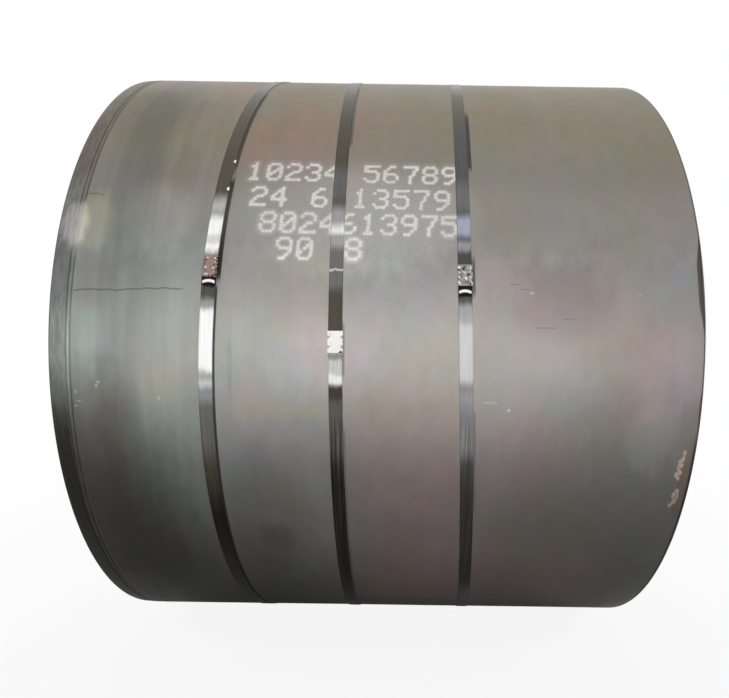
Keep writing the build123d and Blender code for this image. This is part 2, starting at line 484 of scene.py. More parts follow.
def strap_path(lay):
    """Side view of the strap's inner face, from the stub's end round to the tail's cut end."""
    over_radius = SEAT_RADIUS + LAYER_STEP
    under = (UNDER_FACE, STRAIGHT_HALF), (UNDER_FACE, -STRAIGHT_HALF)
    over = (OVER_FACE, STRAIGHT_HALF), (OVER_FACE, -STRAIGHT_HALF)
    # Angles at which the stub ends, the lower layer meets the coil, and the strap, once round,
    # starts to climb onto the stub
    stub = (STRAIGHT_HALF + STUB_LENGTH) / RADIUS
    leave = (math.atan(STRAIGHT_HALF / UNDER_FACE)
             + math.acos(SEAT_RADIUS / math.hypot(UNDER_FACE, STRAIGHT_HALF)))
    arrive = stub + math.acos(SEAT_RADIUS / over_radius)
    points = line_points(polar(SEAT_RADIUS, stub), under[0], STUB_SPACING)
    points += line_points(*under, SEAL_SPACING)
    points += line_points(under[1], polar(SEAT_RADIUS, -leave), NEAR_SPACING)
    sweep = 2 * math.pi - arrive - leave
    points += [polar(SEAT_RADIUS, -leave - sweep * k / RING_STEPS) for k in range(RING_STEPS)]
    points += line_points(polar(SEAT_RADIUS, arrive), polar(over_radius, stub), NEAR_SPACING)
    points += line_points(polar(over_radius, stub), over[0], NEAR_SPACING)
    points += line_points(*over, SEAL_SPACING)
    # The tail falls straight to the coil, and its lip curls up
    fall = math.acos(over_radius / math.hypot(*over[1])) + math.atan(STRAIGHT_HALF / OVER_FACE)
    curl = math.radians(lay.lip) / LIP_STEPS * LIP_TURN
    moves = [((lay.tail - LIP_LENGTH) / TAIL_STEPS, fall)] * TAIL_STEPS
    moves += [(LIP_LENGTH / LIP_STEPS, fall - curl * (k + 0.5)) for k in range(LIP_STEPS)]
    u, v = over[1]
    points.append((u, v))
    for length, turn in moves:
        u, v = u - length * math.sin(turn), v - length * math.cos(turn)
        points.append((u, v))
    return np.array(points)


def notch_inset(along):
    """How far the crimp notches cut in from the seal's side, at a place along the seal."""
    off = np.abs(np.abs(np.asarray(along)) - NOTCH_CENTRE)
    return NOTCH_DEPTH * np.clip((NOTCH_MOUTH - off) / (NOTCH_MOUTH - NOTCH_ROOT), 0.0, 1.0)


def build_strap(lay, material):
    """One strap as a fine ribbon with eased edges, on the CAD strap's own path."""
    path = strap_path(lay)
    along = np.gradient(path, axis=0)
    along /= np.linalg.norm(along, axis=1)[:, None]
    outward = np.stack([-along[:, 1], along[:, 0]], axis=1)
    outward *= np.sign((outward * path).sum(axis=1))[:, None]
    slope_y, slope_z = strap_slopes(lay)
    half = STRAP_HALF_WIDTH * math.sqrt(1 + slope_y ** 2 + slope_z ** 2)
    inside_seal = (path[:, 0] > 0) & (np.abs(path[:, 1]) < STRAIGHT_HALF)
    inset = np.where(inside_seal, STRAP_NIP * notch_inset(path[:, 1]), 0.0)
    angle = math.radians(lay.seal)
    verts = []
    for (u, v), (nu, nv), cut in zip(path, outward, inset):
        for across, up in STRAP_SECTION:
            pu, pv = u + nu * up * STRAP_THICKNESS, v + nv * up * STRAP_THICKNESS
            y = -pu * math.cos(angle) + pv * math.sin(angle)
            z = pu * math.sin(angle) + pv * math.cos(angle)
            x = axis_station(lay) + slope_y * y + slope_z * z + across * (half - cut)
            verts.append((x, y, z))
    faces = loft_faces(len(path), len(STRAP_SECTION))
    obj = make_object(f"strap_{lay.name}_band", verts, faces, material)
    clean_mesh(obj, 35)
    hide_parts(f"strap_{lay.name}")


def seal_axes(lay):
    """Origin on the coil's surface under the seal, and unit vectors across, along and outwards."""
    angle = math.radians(lay.seal)
    slope_y, slope_z = strap_slopes(lay)
    y, z = -RADIUS * math.cos(angle), RADIUS * math.sin(angle)
    turn = math.atan(slope_z * math.cos(angle) + slope_y * math.sin(angle))
    across = np.array([math.cos(turn), -math.sin(turn) * math.sin(angle),
                       -math.sin(turn) * math.cos(angle)])
    out = np.array([0, -math.cos(angle), math.sin(angle)])
    origin = np.array([axis_station(lay) + slope_y * y + slope_z * z, y, z])
    return origin, across, np.cross(out, across), out


SEAL_STATIONS = 61
SEAL_FACE_POINTS = 25
SEAL_END_EASE = 0.0003
# Half the gap between the sleeve's two edges, underneath
SEAL_GAP_HALF = 0.004
# Dents in each seal's face: two ends across and along the seal, half width and depth, millimetres
SEAL_DENTS = {
    "left": ((-13, 11, -6, 8, 2.4, 1.3), (13, 11, 7, 13, 2.2, 1.2), (-13, -11, -7, -13, 2.4, 1.3),
             (13, -11, 6, -8, 2.4, 1.4), (-3, 2, 5, -1, 3.0, 0.5), (-9, 23, 8, 21, 1.8, 0.4)),
    "middle": ((-13, 11, -8, 12, 2.0, 1.1), (-13, -11, -8, -9, 2.2, 1.2),
               (13, 11, 10, 10, 1.4, 0.7), (13, -11, 9, -10, 1.6, 0.9),
               (6, -22, 14, -16, 3.0, 0.7)),
    "right": ((-14, 14, -4, 4, 1.5, 1.4), (-14, 5, -5, -5, 1.5, 1.4), (-14, -6, -6, -15, 1.5, 1.4),
              (-4, 19, 3, 10, 1.4, 1.2), (0, 2, 8, -6, 1.8, 1.5), (13, 11, 9, 9, 1.4, 1.0),
              (13, -11, 9, -12, 1.4, 1.0), (-2, -16, 6, -22, 1.5, 1.0)),
}

# Painted glints and painted shade on each seal: across, along and half width in millimetres, and
# how bright (above 0) or dark (below 0)
SEAL_GLINTS_AND_SHADE = {
    "left": ((-6.6, 20, 2.6, 0.7), (10.5, 19, 2.4, 0.8), (13.0, 10.5, 2.4, 1.0), (-9, -3, 2.4, 0.9),
             (7.9, -4, 2.2, 1.0), (-15.5, -10, 2.0, 0.8), (-9, -19, 2.0, 0.9), (-5, -19, 2.0, 0.9),
             (11.4, -13, 2.2, 0.5), (-10.5, 15, 2.4, -0.9), (9.6, 3.5, 2.6, -0.7),
             (8.0, 14, 2.0, -0.7), (-13, 4.4, 2.4, -0.7), (-7.9, -10.5, 2.0, -0.5),
             (8.4, -9.4, 1.4, -0.6), (16.4, 20, 3.0, -0.9), (16.5, 13, 2.0, -0.8),
             (16.8, 4, 2.4, -0.9), (16.6, -4, 2.4, -0.9), (16.4, -12, 2.6, -0.9),
             (15.0, -20, 3.4, -0.9), (8.5, -23, 3.0, -0.9), (0, -24, 2.0, -0.8)),
    "middle": ((-11, 17.3, 2.6, -0.42), (-9.9, -1.9, 2.4, -0.3), (-3, 20, 1.6, -0.22),
               (13.0, -24, 4.0, -0.95), (8.0, -25, 2.0, -0.6), (17.2, 1, 1.2, -0.8)),
    "right": ((-13.7, 18.4, 3.0, 1.0), (-15.0, 9.5, 2.0, 0.8), (-12.6, 6.5, 2.0, 0.8),
              (-13.8, -4.5, 2.2, 1.0), (-11.8, -7.5, 1.8, 0.9), (-14.2, -16, 2.8, 0.9),
              (-11.5, -20, 2.6, 0.8), (-3.2, 8.5, 1.8, 0.7), (-0.6, 5.2, 1.8, 0.8),
              (12.8, 18.5, 1.9, 1.0), (12.8, 14.0, 1.9, 1.0), (12.8, 9.5, 1.9, 1.0),
              (2.4, -8, 3.0, 0.8), (0.0, -5, 1.8, 0.7), (13.4, -5, 2.0, 0.9), (13.4, -11, 2.2, 1.0),
              (16.2, -19.5, 1.9, 1.0), (14.0, -15, 1.6, 0.8), (-3.0, 14.5, 4.0, -0.8),
              (-0.5, 20.0, 3.4, -0.6), (7.6, 1.6, 3.2, -1.0), (-7.0, -4.3, 2.2, -0.9),
              (-9.0, -13.2, 1.8, -0.9), (-5.0, -15.0, 1.8, -0.9), (0.0, -15.6, 2.0, -0.9),
              (5.5, -15.8, 2.2, -1.0), (11.4, -21.3, 2.2, -1.0), (-10.5, 11.0, 1.6, -0.7),
              (-8.0, 7.0, 1.6, -0.8), (-5.6, 3.0, 1.6, -0.8), (-4.0, -21.5, 2.4, -0.4),
              (4.0, -21.5, 2.4, -0.4), (6.5, 13.0, 2.0, -0.4)),
}


def seal_tone(name, across, along):
    """Painted glint (above 0) or painted shade (below 0) at a place on the seal's face, from -1 to
    1.
    """
    tone = 0.0
    for xa, ya, half, level in SEAL_GLINTS_AND_SHADE[name]:
        gap = math.hypot(across * 1000 - xa, along * 1000 - ya)
        share = float(1 - smooth_step(0.45 * half, 1.35 * half, gap))
        tone += (level - tone) * share
    return tone


def seal_dent(name, across, along):
    """Depth of the crimping dents at a place on the seal's face."""
    depth = 0.0
    for xa, ya, xb, yb, half, deep in SEAL_DENTS[name]:
        gap, _ = line_gap(across * 1000, along * 1000, (xa, ya), (xb, yb))
        depth = max(depth, deep * float(1 - smooth_step(0.35 * half, half, gap)))
    return depth / 1000


def seal_section(name, along):
    """The sleeve's section at a place along the seal: places across, and heights."""
    half_length = SEAL_LENGTH / 2
    edge = SEAL_HALF_WIDTH - float(notch_inset(along))
    ease = SEAL_END_EASE * float(smooth_step(half_length - 0.0012, half_length, abs(along)))
    side = [(-SEAL_GAP_HALF, SEAL_BASE), (-edge + 0.0008, SEAL_BASE), (-edge, SEAL_BASE + 0.0007),
            (-edge, SEAL_TOP - 0.001), (-edge + 0.0003, SEAL_TOP - 0.0004)]
    face = [(a, SEAL_TOP - ease - seal_dent(name, a, along))
            for a in np.linspace(-1, 1, SEAL_FACE_POINTS) * (edge - 0.0009)]
    inside = [(SEAL_GAP_HALF, SEAL_BASE + SEAL_WALL), (edge - SEAL_WALL, SEAL_BASE + SEAL_WALL),
              (edge - SEAL_WALL, SEAL_TOP - SEAL_WALL)]
    mirrored = [[(-a, h) for a, h in reversed(part)] for part in (side, inside)]
    return side + face + mirrored[0] + inside + mirrored[1]


def build_seal(lay, material):
    """One seal: a sleeve folded round both layers, bitten and dented by the crimper."""
    origin, across_dir, along_dir, out_dir = seal_axes(lay)
    verts, tones = [], []
    for along in np.linspace(-SEAL_LENGTH / 2, SEAL_LENGTH / 2, SEAL_STATIONS):
        for a, h in seal_section(lay.name, along):
            verts.append(origin + across_dir * a + along_dir * along + out_dir * h)
            tones.append(seal_tone(lay.name, a, along))
    faces = loft_faces(SEAL_STATIONS, len(verts) // SEAL_STATIONS)
    obj = make_object(f"seal_{lay.name}_crimped", verts, faces, material)
    add_attribute(obj, "tone", tones)
    clean_mesh(obj, 32)
    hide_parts(f"seal_{lay.name}")


# Materials

EVEN = (1, 1, 1)


class Nodes:
    """Short calls for building a node tree. Values are sockets or plain numbers."""

    def __init__(self, owner):
        owner.use_nodes = True
        self.owner = owner
        self.tree = owner.node_tree

    def feed(self, target, value):
        """Links a socket, or sets a plain number or colour."""
        if isinstance(value, bpy.types.NodeSocket):
            self.tree.links.new(value, target)
        elif target.type == "RGBA":
            target.default_value = (*value, 1.0)
        else:
            target.default_value = value

    def node(self, kind, inputs, output=0, **settings):
        """Adds a node with its settings and inputs, and returns one of its outputs."""
        node = self.tree.nodes.new(kind)
        for key, value in settings.items():
            setattr(node, key, value)
        for key, value in inputs.items():
            self.feed(node.inputs[key], value)
        return node.outputs[output]

    def math(self, operation, *values):
        return self.node("ShaderNodeMath", dict(enumerate(values)), operation=operation)

    def times(self, a, b):
        return self.math("MULTIPLY", a, b)

    def plus(self, a, b):
        return self.math("ADD", a, b)

    def squares(self, a, b):
        """The sum of two squares."""
        return self.plus(self.times(a, a), self.times(b, b))

    def centred(self, noise, amount):
        """A noise moved to lie about 0, times an amount."""
        return self.times(self.plus(noise, -0.5), amount)

    def lift(self, value, mask, amount):
        """A value with an amount added where the mask is 1."""
        return self.plus(value, self.times(mask, amount))

    def shade(self, value, mask, amount):
        """A value changed by a share of itself where the mask is 1."""
        return self.times(value, self.lift(1.0, mask, amount))

    def step(self, value, low, high, to_low=0.0, to_high=1.0):
        """Soft change from to_low to to_high as the value goes from low to high."""
        return self.node("ShaderNodeMapRange", {"Value": value, "From Min": low, "From Max": high,
                                                "To Min": to_low, "To Max": to_high},
                         interpolation_type="SMOOTHSTEP")

    def window(self, value, rise_from, rise_to, fall_from, fall_to):
        """1 between two soft ends, 0 outside them."""
        return self.times(self.step(value, rise_from, rise_to),
                          self.step(value, fall_to, fall_from))

    def near(self, value, middle, far, close):
        """1 where a value is within close of the middle, 0 beyond far."""
        return self.step(self.math("ABSOLUTE", self.plus(value, -middle)), far, close)

    def mix(self, factor, a, b, blend="MIX"):
        """Two colours mixed. Inputs 6 and 7 and output 2 are the node's colours."""
        return self.node("ShaderNodeMix", {"Factor": factor, 6: a, 7: b}, 2,
                         data_type="RGBA", blend_type=blend)

    def cover(self, color, mask, strength, other, blend="MIX"):
        """A colour with another over it, at a strength, where the mask is 1."""
        return self.mix(self.times(mask, strength), color, other, blend)

    def combine(self, red, green, blue):
        """A colour or a place from three numbers."""
        return self.node("ShaderNodeCombineXYZ", {0: red, 1: green, 2: blue})

    def scale_color(self, color, factor):
        """A colour times a number."""
        return self.node("ShaderNodeVectorMath", {0: color, "Scale": factor}, operation="SCALE")

    def ray(self, kind):
        """1 for rays of a kind."""
        return self.node("ShaderNodeLightPath", {}, f"Is {kind} Ray")

    def seen_by_eye(self):
        """1 for rays from the camera, or by way of gloss or glass."""
        seen = self.math("MAXIMUM", self.ray("Camera"), self.ray("Glossy"))
        return self.math("MAXIMUM", seen, self.ray("Transmission"))

    def end_with(self, output, factor, first, second):
        """Ends the tree with two shaders mixed by a factor."""
        shader = self.node("ShaderNodeMixShader", {0: factor, 1: first, 2: second})
        self.feed(self.tree.nodes[output].inputs["Surface"], shader)


class Surface(Nodes):
    """A new material, painted by place. Places are in the part's own coordinates."""

    def __init__(self, name):
        super().__init__(bpy.data.materials.new(name))
        self.position = self.node("ShaderNodeTexCoord", {}, "Object")
        split = self.tree.nodes.new("ShaderNodeSeparateXYZ")
        self.feed(split.inputs[0], self.position)
        self.x, self.y, self.z = split.outputs

    def noise_at(self, place, scale, detail, rough, distort=0.0):
        return self.node("ShaderNodeTexNoise", {"Vector": place, "Scale": scale, "Detail": detail,
                                                "Roughness": rough, "Distortion": distort})

    def noise(self, scale, stretch, detail, rough, distort=0.0):
        """Noise, drawn out where the stretch is below 1."""
        place = self.node("ShaderNodeVectorMath", {0: self.position, 1: stretch},
                          operation="MULTIPLY")
        return self.noise_at(place, scale, detail, rough, distort)

    def radius(self):
        """Distance from the coil's axis."""
        return self.math("SQRT", self.squares(self.y, self.z))

    def ring_noise(self, across, along, detail, rough):
        """Noise drawn out round the coil's axis, for the turns' edges on the ends."""
        place = self.combine(self.times(self.radius(), across), self.times(self.y, along),
                             self.times(self.z, along))
        return self.noise_at(place, 1.0, detail, rough)

    def angle(self):
        """Degrees about X from the front, positive upwards."""
        turn = self.math("ARCTAN2", self.z, self.times(self.y, -1.0))
        return self.times(turn, math.degrees(1))

    def below(self, degrees, fall_from, fall_to):
        """1 low on the front, up to an angle. It ends softly underneath, out of sight."""
        return self.window(degrees, -125.0, -90.0, fall_from, fall_to)

    def stripe(self, x, half):
        """1 on a line round the coil at X, fading over its half width."""
        return self.near(self.x, x, half, half * 0.2)

    def patch(self, x, angle, half_x, half_angle, degrees, soft):
        """A soft-edged oval at a place on the coil."""
        dx = self.times(self.plus(self.x, -x), 1 / half_x)
        da = self.times(self.plus(degrees, -angle), 1 / half_angle)
        return self.step(self.squares(dx, da), 1.0 + soft, 1.0 - soft)

    def attribute(self, name):
        """A number that the mesh carries."""
        return self.node("ShaderNodeAttribute", {}, "Fac", attribute_name=name)

    def bump(self, height, distance, strength):
        return self.node("ShaderNodeBump",
                         {"Strength": strength, "Distance": distance, "Height": height})

    def finish(self, color, roughness, normal, **fixed):
        """Feeds the shader and returns the material."""
        shader = self.tree.nodes["Principled BSDF"]
        for key, value in (("Base Color", color), ("Roughness", roughness), ("Normal", normal)):
            self.feed(shader.inputs[key], value)
        for key, value in fixed.items():
            shader.inputs[key.replace("_", " ")].default_value = value
        return self.owner


# Stains on the coil, and painted light and shade: X, angle, half width, half angle, softness, tint
# and strength
STAINS_AND_SHADING = (
    # Painted highlight, lilac, on the left edge's upper front
    (-0.712, 17.6, 0.03, 3.0, 0.9, (1.95, 1.82, 1.95), 1.0),
    (-0.664, 18.4, 0.04, 4.2, 0.8, (1.36, 1.32, 1.14), 1.0),
    (-0.735, 10.0, 0.03, 5.0, 0.6, (0.74, 0.72, 0.76), 0.9),
    (-0.735, 32.0, 0.03, 7.0, 0.6, (0.74, 0.72, 0.76), 0.9),
    (-0.655, 1.0, 0.026, 5.0, 0.8, (1.08, 1.1, 1.08), 0.9),
    (-0.655, 9.0, 0.05, 4.0, 0.7, (0.88, 0.83, 0.86), 0.9),
    (-0.585, 14.0, 0.032, 14.0, 0.7, (0.97, 1.01, 0.99), 0.9),
    (-0.52, 19.0, 0.075, 6.0, 0.9, (1.34, 1.3, 1.32), 0.9),
    (-0.48, 27.0, 0.035, 5.0, 0.6, (0.92, 0.9, 0.82), 0.9),
    (-0.5, -6.0, 0.045, 3.2, 0.7, (1.08, 1.03, 0.9), 0.8),
    (-0.61, -9.0, 0.05, 8.0, 0.8, (0.9, 0.86, 0.84), 0.9),
    (-0.68, -8.5, 0.13, 6.0, 0.9, (0.8, 0.8, 0.8), 0.9),
    (-0.13, -1.5, 0.13, 5.5, 0.9, (1.1, 1.1, 1.1), 0.9),
    (0.27, 1.5, 0.09, 6.0, 0.9, (0.93, 0.92, 0.91), 0.9),
    (0.6, -1.0, 0.16, 8.0, 0.9, (1.1, 1.08, 1.09), 0.9),
    (-0.33, 34.0, 0.07, 7.0, 0.8, (1.08, 0.95, 0.9), 0.9),
    (-0.21, -9.5, 0.12, 1.2, 0.7, (1.06, 1.05, 0.88), 0.8),
    (-0.252, -31.7, 0.044, 2.9, 0.95, (0.66, 0.66, 0.67), 0.68),
    (0.3, -20.0, 0.16, 12.0, 0.9, (1.06, 0.97, 0.98), 0.9),
    (0.15, -12.0, 0.08, 6.0, 0.9, (1.04, 1.0, 0.92), 0.8),
    (0.42, 7.0, 0.11, 5.5, 0.9, (0.84, 0.76, 0.79), 0.9),
    (0.56, 2.0, 0.12, 14.0, 0.9, (1.0, 0.95, 0.92), 0.9),
    (0.685, -4.0, 0.085, 7.0, 0.9, (1.24, 1.12, 1.16), 0.9),
    (0.738, -20.0, 0.022, 7.0, 0.7, (1.1, 0.84, 0.72), 0.9),
    # Painted light and shade over the lower front, darkest at the lower left and underneath
    (-0.76, -34.0, 0.3, 24.0, 0.9, (0.34, 0.3, 0.27), 1.0),
    (0.06, -32.0, 0.13, 24.0, 0.9, (1.16, 1.0, 1.02), 1.0),
    (0.3, -44.0, 0.3, 12.0, 0.9, (1.34, 1.14, 1.14), 1.0),
    (-0.13, 38.0, 0.17, 13.0, 0.9, (1.12, 0.98, 1.0), 1.0),
    (-0.6, -62.0, 0.5, 30.0, 0.9, (0.38, 0.37, 0.35), 1.0),
    (-0.28, -28.0, 0.11, 12.0, 0.9, (0.78, 0.77, 0.76), 1.0),
    (0.5, -38.0, 0.22, 26.0, 0.9, (0.85, 0.84, 0.83), 1.0),
    (-0.62, 43.0, 0.13, 9.0, 0.9, (0.82, 0.83, 0.83), 1.0),
    (0.64, -13.0, 0.055, 5.0, 0.9, (1.24, 1.2, 1.2), 1.0),
    (-0.335, -3.2, 0.0055, 5.4, 0.6, (0.9, 0.9, 0.9), 1.0),
)
CHALK = ((0.92, 0.72, 0.62), (0.95, 0.76, 0.66), (0.97, 0.79, 0.69))
# Bare or paler knocks and flecks: X, angle, half width, half angle, colour
FLECKS = (
    (0.7236, -15.0, 0.004, 0.42, CHALK[0]), (0.7224, -15.9, 0.0034, 0.55, CHALK[1]),
    (0.718, -16.4, 0.006, 0.4, CHALK[2]), (0.7214, -17.0, 0.0036, 0.5, CHALK[1]),
    (0.715, -17.3, 0.0044, 0.6, CHALK[2]), (0.72, -18.2, 0.0056, 0.45, CHALK[1]),
    (0.7129, -18.6, 0.005, 0.55, CHALK[2]), (0.718, -19.2, 0.0046, 0.4, CHALK[0]),
    (0.7222, -21.5, 0.0056, 0.5, CHALK[2]), (0.7165, -22.2, 0.0046, 0.6, CHALK[2]),
    (0.7255, -22.4, 0.0036, 0.6, CHALK[0]), (0.7205, -23.3, 0.006, 0.5, CHALK[2]),
    (0.714, -24.0, 0.0046, 0.5, CHALK[0]),
    (-0.637, -5.6, 0.004, 0.2, (0.38, 0.38, 0.36)),
    (-0.641, -6.1, 0.003, 0.26, (0.36, 0.36, 0.34)),
    (0.6, 7.95, 0.006, 0.12, (0.42, 0.4, 0.37)),
    (0.305, -8.9, 0.004, 0.22, (0.6, 0.58, 0.55)),
    (0.262, -7.8, 0.02, 0.16, (0.42, 0.41, 0.34)),
    (-0.5, -7.8, 0.003, 0.35, (0.44, 0.43, 0.4)),
    (0.314, 9.2, 0.014, 0.11, (0.22, 0.21, 0.19)),
    (0.338, 8.5, 0.011, 0.11, (0.19, 0.18, 0.17)),
    (0.353, 8.0, 0.005, 0.13, (0.46, 0.45, 0.42)),
    (0.366, 7.3, 0.003, 0.24, (0.24, 0.22, 0.22)),
    (0.384, 3.0, 0.024, 0.12, (0.2, 0.18, 0.18)),
    (0.44, 4.3, 0.018, 0.12, (0.21, 0.19, 0.19)),
    (-0.689, -7.0, 0.002, 0.36, (0.36, 0.36, 0.35)),
    (-0.683, -8.4, 0.006, 0.11, (0.34, 0.34, 0.33)),
    (-0.69, -9.1, 0.003, 0.16, (0.33, 0.33, 0.32)),
)
# Painted shadow on the coil along each strap's right edge: from angle, to angle, width and strength
STRAP_SHADOW_LINES = {
    "left": ((-62.0, 8.0, 0.004, 0.9), (9.0, 26.0, 0.0085, 1.0), (27.0, 50.0, 0.0065, 0.8)),
    "middle": ((-4.0, 3.0, 0.004, 0.5), (33.0, 56.0, 0.0055, 0.5), (-60.0, -13.0, 0.004, 0.3)),
    "right": ((8.0, 13.0, 0.007, 0.7), (28.0, 43.0, 0.008, 0.85), (-26.0, -9.0, 0.004, 0.3)),
}
# Colour of the painted shadow beside the straps
STRAP_SHADOW_COLOR = (0.014, 0.012, 0.011)
PAINT = (1.0, 0.99, 0.965)
SEAM = (0.012, 0.011, 0.01)
# X of the crease's two grooves, of the ridge between them, and of the pale line low down
CREASE_GROOVES = (-0.7093, -0.6998)
CREASE_RIDGE = -0.7045
PALE_LINE = -0.7088
# Painted shade on the right edge's rim at its two knocks, where the edge is bent in: the angles
# over which it widens and its X before and after, those over which it narrows and by how much, its
# two soft ends, strength and colour
KNOCK_SHADES = (
    ((0.8, 8.0, 0.7475, 0.7355), (12.0, 18.6, 0.0, 0.013), (-2.0, 1.5, 18.6, 22.0),
     0.86, (0.06, 0.044, 0.044)),
    ((-4.4, -7.5, 0.7475, 0.7432), (-8.5, -12.5, 0.0, 0.004), (-15.0, -12.5, -4.6, -2.5),
     0.8, (0.09, 0.074, 0.056)),
)


def strap_offset(n, lay):
    """Distance along X from a strap's middle, for a point on the coil."""
    slope_y, slope_z = strap_slopes(lay)
    plane = n.plus(n.times(n.y, -slope_y), n.times(n.z, -slope_z))
    return n.plus(n.plus(n.x, plane), -axis_station(lay))


def oxide_color(n, degrees, patches, hue, left):
    """The scale's colours, browner towards the top."""
    olive, pink, blue = (0.318, 0.305, 0.272), (0.342, 0.312, 0.297), (0.306, 0.312, 0.31)
    color = n.mix(n.step(hue, 0.4, 0.6), olive, pink)
    color = n.cover(color, n.step(patches, 0.46, 0.62), 0.7, blue)
    color = n.cover(color, left, 0.8, (0.282, 0.305, 0.286))
    # Browner and darker round the top
    top = n.window(degrees, 14.0, 42.0, 100.0, 150.0)
    brown = n.mix(n.step(hue, 0.35, 0.65), (0.268, 0.248, 0.19), (0.3, 0.248, 0.192))
    color = n.mix(top, color, brown)
    # Films differ in thickness, so blotches of all sizes lean to purple, green, yellow or blue
    purple = n.plus(n.noise(6.0, EVEN, 6, 0.82), -0.5)
    cold = n.plus(n.noise(7.3, EVEN, 6, 0.82), -0.5)
    film = n.combine(n.lift(1.0, purple, 0.27), n.lift(1.0, purple, -0.27),
                     n.lift(1.0, cold, 0.46))
    return n.mix(1.0, color, film, "MULTIPLY")


def crease_tone(n, tone, degrees):
    """Tone with the band beyond the crease darker as painted shade of its drooping edge, and the
    crease's two grooves as painted shade with a painted highlight on the ridge between them.
    """
    # Painted shade on the drooping band beyond the crease
    band = n.step(n.x, -0.694, -0.706)
    grooves = n.noise(150.0, (1.0, 0.15, 0.15), 3, 0.6)
    tone = n.shade(tone, band, n.step(grooves, 0.35, 0.65, -0.34, -0.1))
    outer, inner = CREASE_GROOVES
    # Painted shade in the crease's two grooves, fainter where highlights fall and low down
    lines = n.math("MAXIMUM", n.stripe(outer, 0.003), n.stripe(inner, 0.0028))
    highlight = n.window(degrees, -14.0, -4.0, 2.0, 7.0)
    under_highlight = n.window(degrees, 12.0, 15.0, 20.0, 22.5)
    low = n.below(degrees, -26.0, -16.0)
    for mask, amount in ((highlight, -0.5), (under_highlight, -0.85), (low, -0.85)):
        lines = n.shade(lines, mask, amount)
    tone = n.shade(tone, lines, -0.6)
    # Further down, the band's outer part is much darker, up to a thin pale line
    black = n.times(n.step(n.x, -0.7105, -0.7145), n.below(degrees, -15.0, -3.0))
    tone = n.shade(tone, black, -0.78)
    tone = n.lift(tone, n.times(n.stripe(PALE_LINE, 0.003), low), 0.3)
    # Painted highlight on the ridge between the grooves
    return n.lift(tone, n.times(n.stripe(CREASE_RIDGE, 0.0036), highlight), 0.55)


def add_stains_and_shading(n, color, angle, degrees):
    """Stains, painted light and shade, and knocks and flecks with broken edges."""
    for x, middle, half_x, half_angle, soft, tint, strength in STAINS_AND_SHADING:
        mask = n.patch(x, middle, half_x, half_angle, degrees, soft)
        color = n.cover(color, mask, strength, tint, "MULTIPLY")
    broken = n.step(n.noise(300.0, EVEN, 3, 0.6), 0.34, 0.5)
    for x, middle, half_x, half_angle, fleck in FLECKS:
        mask = n.patch(x, middle, half_x, half_angle, angle, 0.4)
        color = n.cover(color, mask, broken, fleck)
    return color


def add_edge_marks_and_shade(n, color, angle, degrees):
    """A long shallow scratch, the crease's brown stretch, a short nick, and dark rims, painted
    shade on the ends' edges.
    """
    wave = n.centred(n.noise(16.0, (1, 0, 0), 3, 0.6), 1.3)
    height = n.plus(angle, n.plus(wave, n.times(n.x, -2.1)))
    scratch = n.times(n.near(height, 8.92, 0.17, 0.06),
                      n.window(n.x, -0.7, -0.69, -0.455, -0.437))
    color = n.cover(color, scratch, 0.62, (0.06, 0.07, 0.065))
    brown = n.times(n.stripe(-0.7005, 0.004), n.window(degrees, 20.5, 23.5, 29.0, 36.0))
    color = n.cover(color, brown, 0.6, (0.13, 0.085, 0.065))
    off = n.plus(n.x, 0.679)
    arch = n.lift(angle, n.times(off, off), 600.0)
    nick = n.times(n.near(arch, 22.78, 0.2, 0.08),
                   n.window(n.x, -0.702, -0.697, -0.662, -0.654))
    color = n.cover(color, nick, 0.5, (0.13, 0.095, 0.075))
    # Painted shade on the rims at both ends
    rims = n.plus(n.step(n.x, -0.7462, -0.7474), n.step(n.x, 0.7444, 0.7462))
    color = n.cover(color, rims, 0.85, (0.04, 0.036, 0.034))
    # The right rim's painted shade is wider and blacker low down, and dark brown where the edge was
    # knocked in
    thick = n.times(n.step(n.x, 0.7405, 0.743), n.below(degrees, -16.0, -10.0))
    color = n.cover(color, thick, 0.85, (0.03, 0.024, 0.022))
    for widens, narrows, reach, strength, dark in KNOCK_SHADES:
        edge = n.plus(n.step(angle, *widens), n.step(angle, *narrows))
        rim = n.step(n.plus(n.x, n.times(edge, -1.0)), -0.0012, 0.0012)
        color = n.cover(color, n.times(rim, n.window(angle, *reach)), strength, dark)
    return color


def add_strap_shadows(n, color, degrees):
    """Painted shadow on the coil beside each strap's right edge."""
    for lay in STRAP_LAYS:
        off = strap_offset(n, lay)
        for low, high, width, strength in STRAP_SHADOW_LINES[lay.name]:
            line = n.window(off, 0.015, 0.0162, 0.016 + width, 0.018 + width)
            length = n.window(degrees, low - 1.0, low + 1.0, high - 1.0, high + 1.0)
            # Painted shadow beside the strap
            color = n.cover(color, n.times(line, length), strength, STRAP_SHADOW_COLOR)
    return color


def end_color(n, patches):
    """Strip edges on the ends: greyer, with light rust."""
    turns = n.ring_noise(80.0, 5.0, 3, 0.6)
    rust = n.times(n.step(n.ring_noise(45.0, 9.0, 5, 0.65), 0.5, 0.66),
                   n.step(n.noise(240.0, EVEN, 3, 0.6), 0.3, 0.6))
    color = n.mix(n.step(patches, 0.42, 0.62), (0.285, 0.28, 0.27), (0.262, 0.246, 0.226))
    color = n.cover(color, rust, 0.7, (0.2, 0.128, 0.084))
    return n.scale_color(color, n.step(turns, 0.25, 0.75, 0.74, 1.22))


